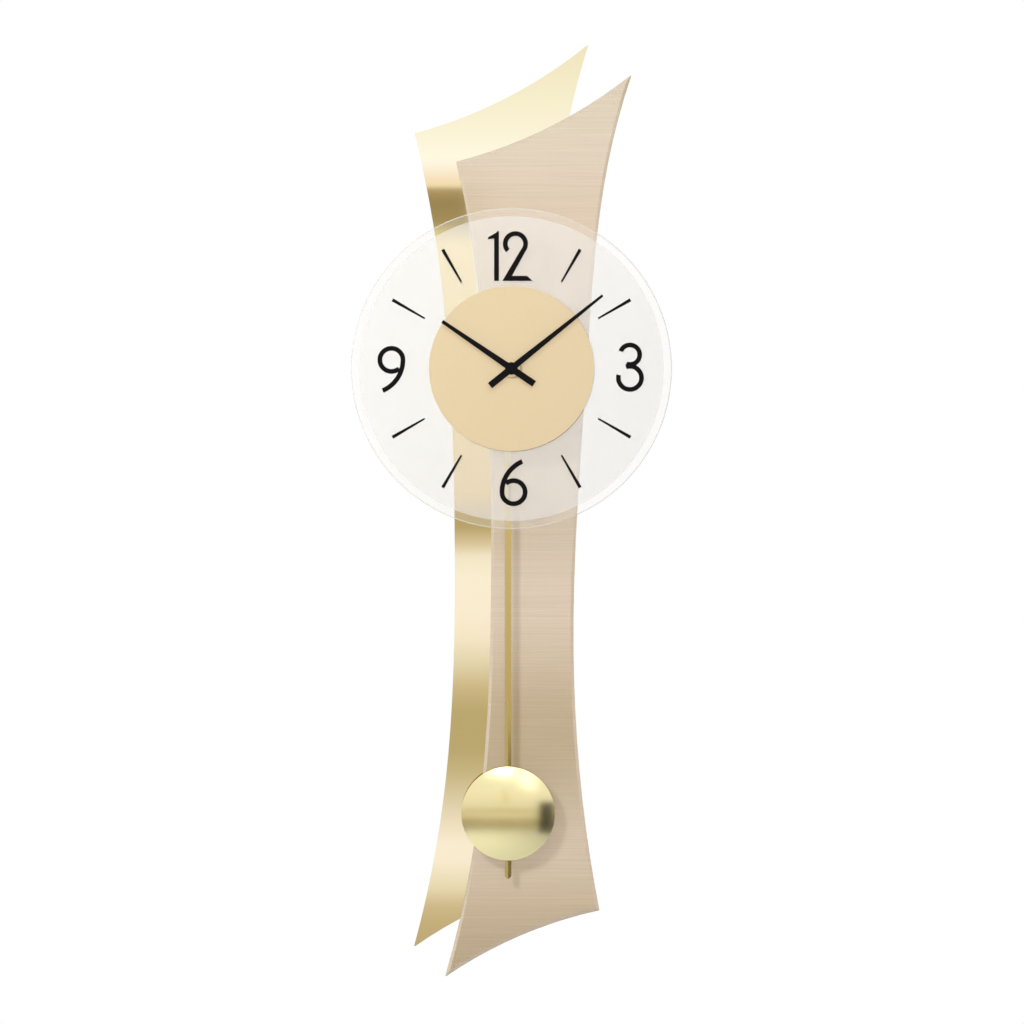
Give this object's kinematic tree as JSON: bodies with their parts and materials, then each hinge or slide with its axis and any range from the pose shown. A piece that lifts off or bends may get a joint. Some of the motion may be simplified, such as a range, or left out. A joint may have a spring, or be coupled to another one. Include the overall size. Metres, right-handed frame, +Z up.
{
  "type": "pendulum wall clock",
  "caption": "Wall clock with a round glass dial on two hollow-sided wavy panels, one behind the other, and a long free-hanging pendulum with a domed disc bob.",
  "frame": {"origin": "centre of the keyhole's round opening, on the rear face of the hanger plate, in the wall plane", "axes": "+Z up, +Y towards the wall, the dial faces -Y, +X to the right as the dial is read"},
  "size_m": [0.23, 0.0657, 0.6695],
  "materials": {
    "board_paint": "fibreboard with dark satin paint on its edges and back",
    "beech_wood": "planed beech",
    "mirror_gold": "mirror-polished gold-coloured metal sheet",
    "brushed_champagne": "fine horizontal brushed grain, champagne tint",
    "satin_gold": "satin gold sheet",
    "polished_brass": "polished, lacquered",
    "pale_brass": "turned brass, light lacquer",
    "zinc_steel": "zinc plated",
    "hanger_steel": "stamped, zinc plated",
    "pad_rubber": "soft matte rubber",
    "washer_rubber": "matte rubber",
    "case_plastic": "moulded black plastic, fine texture",
    "knob_plastic": "moulded pale plastic",
    "plate_plastic": "moulded grey plastic",
    "wheel_plastic": "natural acetal",
    "wheel_brass": "machined brass",
    "board_green": "solder-masked circuit board",
    "chip_resin": "black potting resin",
    "can_metal": "drawn metal can",
    "winding_copper": "enamelled copper winding",
    "motor_iron": "stamped soft iron",
    "magnet_metal": "sintered magnet",
    "cell_jacket": "plain printed jacket, no lettering",
    "spring_metal": "nickel plated",
    "clear_glass": "clear mineral glass, polished rim",
    "frosted_print": "translucent white screen print",
    "black_print": "black screen print",
    "hand_black": "satin black paint",
    "lever_plastic": "moulded black plastic"
  },
  "bodies": {
    "clock_body": {"rear_panel_upper_board": "board_paint", "rear_panel_lower_board": "board_paint", "front_panel_board": "board_paint", "rear_panel_mirror_sheet": "mirror_gold", "front_panel_brushed_sheet": "brushed_champagne", "panel_spacers": "case_plastic", "panel_screws": "zinc_steel", "movement_screws": "zinc_steel", "wall_pads": "pad_rubber", "hanger_plate": "hanger_steel", "hanger_screws": "zinc_steel", "hanger_block": "beech_wood", "movement_rear_case": "case_plastic", "movement_front_case": "case_plastic", "train_plate": "plate_plastic", "motor_stator": "motor_iron", "motor_coil_core": "motor_iron", "motor_coil_winding": "winding_copper", "circuit_board": "board_green", "control_chip": "chip_resin", "quartz_crystal": "can_metal", "pendulum_drive_coil": "winding_copper", "battery": "cell_jacket", "battery_contact_negative": "spring_metal", "battery_contact_positive": "spring_metal", "threaded_bushing": "pale_brass", "rubber_washer": "washer_rubber", "dial_glass": "clear_glass", "dial_print": "frosted_print", "dial_numerals": "black_print", "hour_ticks": "black_print", "inner_disc": "satin_gold", "nut_washer": "pale_brass", "dial_nut": "pale_brass", "pendulum_pivot_pin": "zinc_steel"},
    "minute_hand_set": {"cannon_pinion": "wheel_brass", "minute_hand": "hand_black", "hand_cap": "hand_black"},
    "hour_hand_set": {"hour_wheel": "wheel_plastic", "hour_hand": "hand_black"},
    "minute_wheel_set": {"minute_wheel": "wheel_plastic"},
    "setting_knob_set": {"setting_shaft": "wheel_plastic", "setting_knob": "knob_plastic"},
    "rotor": {"rotor_pinion": "wheel_plastic", "rotor_magnet": "magnet_metal"},
    "fifth_wheel_set": {"fifth_wheel": "wheel_plastic"},
    "fourth_wheel_set": {"fourth_wheel": "wheel_plastic"},
    "third_wheel_set": {"third_wheel": "wheel_plastic"},
    "centre_wheel_set": {"centre_wheel": "wheel_brass"},
    "pendulum": {"pendulum_hanger": "lever_plastic", "hanger_magnet": "magnet_metal", "pendulum_rod": "polished_brass"},
    "bob": {"bob_shell": "polished_brass", "bob_back_plate": "pale_brass", "bob_clip": "zinc_steel"}
  },
  "joints": [
    {"name": "minute_hand_turn", "type": "hinge", "parent": "clock_body", "child": "minute_hand_set", "pos_m": [0, -0.045, -0.15], "axis": [0, 1, 0], "continuous": true},
    {"name": "hour_hand_turn", "type": "hinge", "parent": "clock_body", "child": "hour_hand_set", "pos_m": [0, -0.045, -0.15], "axis": [0, 1, 0], "continuous": true},
    {"name": "minute_wheel_turn", "type": "hinge", "parent": "clock_body", "child": "minute_wheel_set", "pos_m": [0.006, -0.045, -0.13961], "axis": [0, 1, 0], "continuous": true},
    {"name": "setting_knob_turn", "type": "hinge", "parent": "clock_body", "child": "setting_knob_set", "pos_m": [0.018, -0.045, -0.13961], "axis": [0, 1, 0], "continuous": true},
    {"name": "rotor_turn", "type": "hinge", "parent": "clock_body", "child": "rotor", "pos_m": [-0.0227, -0.045, -0.13992], "axis": [0, 1, 0], "continuous": true},
    {"name": "fifth_wheel_turn", "type": "hinge", "parent": "clock_body", "child": "fifth_wheel_set", "pos_m": [-0.01612, -0.045, -0.13753], "axis": [0, 1, 0], "continuous": true},
    {"name": "fourth_wheel_turn", "type": "hinge", "parent": "clock_body", "child": "fourth_wheel_set", "pos_m": [-0.01162, -0.045, -0.14532], "axis": [0, 1, 0], "continuous": true},
    {"name": "third_wheel_turn", "type": "hinge", "parent": "clock_body", "child": "third_wheel_set", "pos_m": [-0.01015, -0.045, -0.15369], "axis": [0, 1, 0], "continuous": true},
    {"name": "centre_wheel_turn", "type": "hinge", "parent": "clock_body", "child": "centre_wheel_set", "pos_m": [0, -0.045, -0.15], "axis": [0, 1, 0], "continuous": true},
    {"name": "pendulum_swing", "type": "hinge", "parent": "clock_body", "child": "pendulum", "pos_m": [-0.0024, -0.039, -0.138], "axis": [0, 1, 0], "range_deg": [-6, 6]},
    {"name": "bob_adjust", "type": "slide", "parent": "pendulum", "child": "bob", "axis": [0, 0, 1], "range_m": [-0.01, 0.01]}
  ],
  "couplings": [
    {"joint": "hour_hand_turn", "follows": "minute_hand_turn", "ratio": 0.083333},
    {"joint": "minute_wheel_turn", "follows": "minute_hand_turn", "ratio": -0.33333},
    {"joint": "setting_knob_turn", "follows": "minute_hand_turn", "ratio": 1},
    {"joint": "fifth_wheel_turn", "follows": "rotor_turn", "ratio": -0.16667},
    {"joint": "fourth_wheel_turn", "follows": "rotor_turn", "ratio": 0.033333},
    {"joint": "third_wheel_turn", "follows": "rotor_turn", "ratio": -0.0044444},
    {"joint": "centre_wheel_turn", "follows": "rotor_turn", "ratio": 0.00055556}
  ]
}
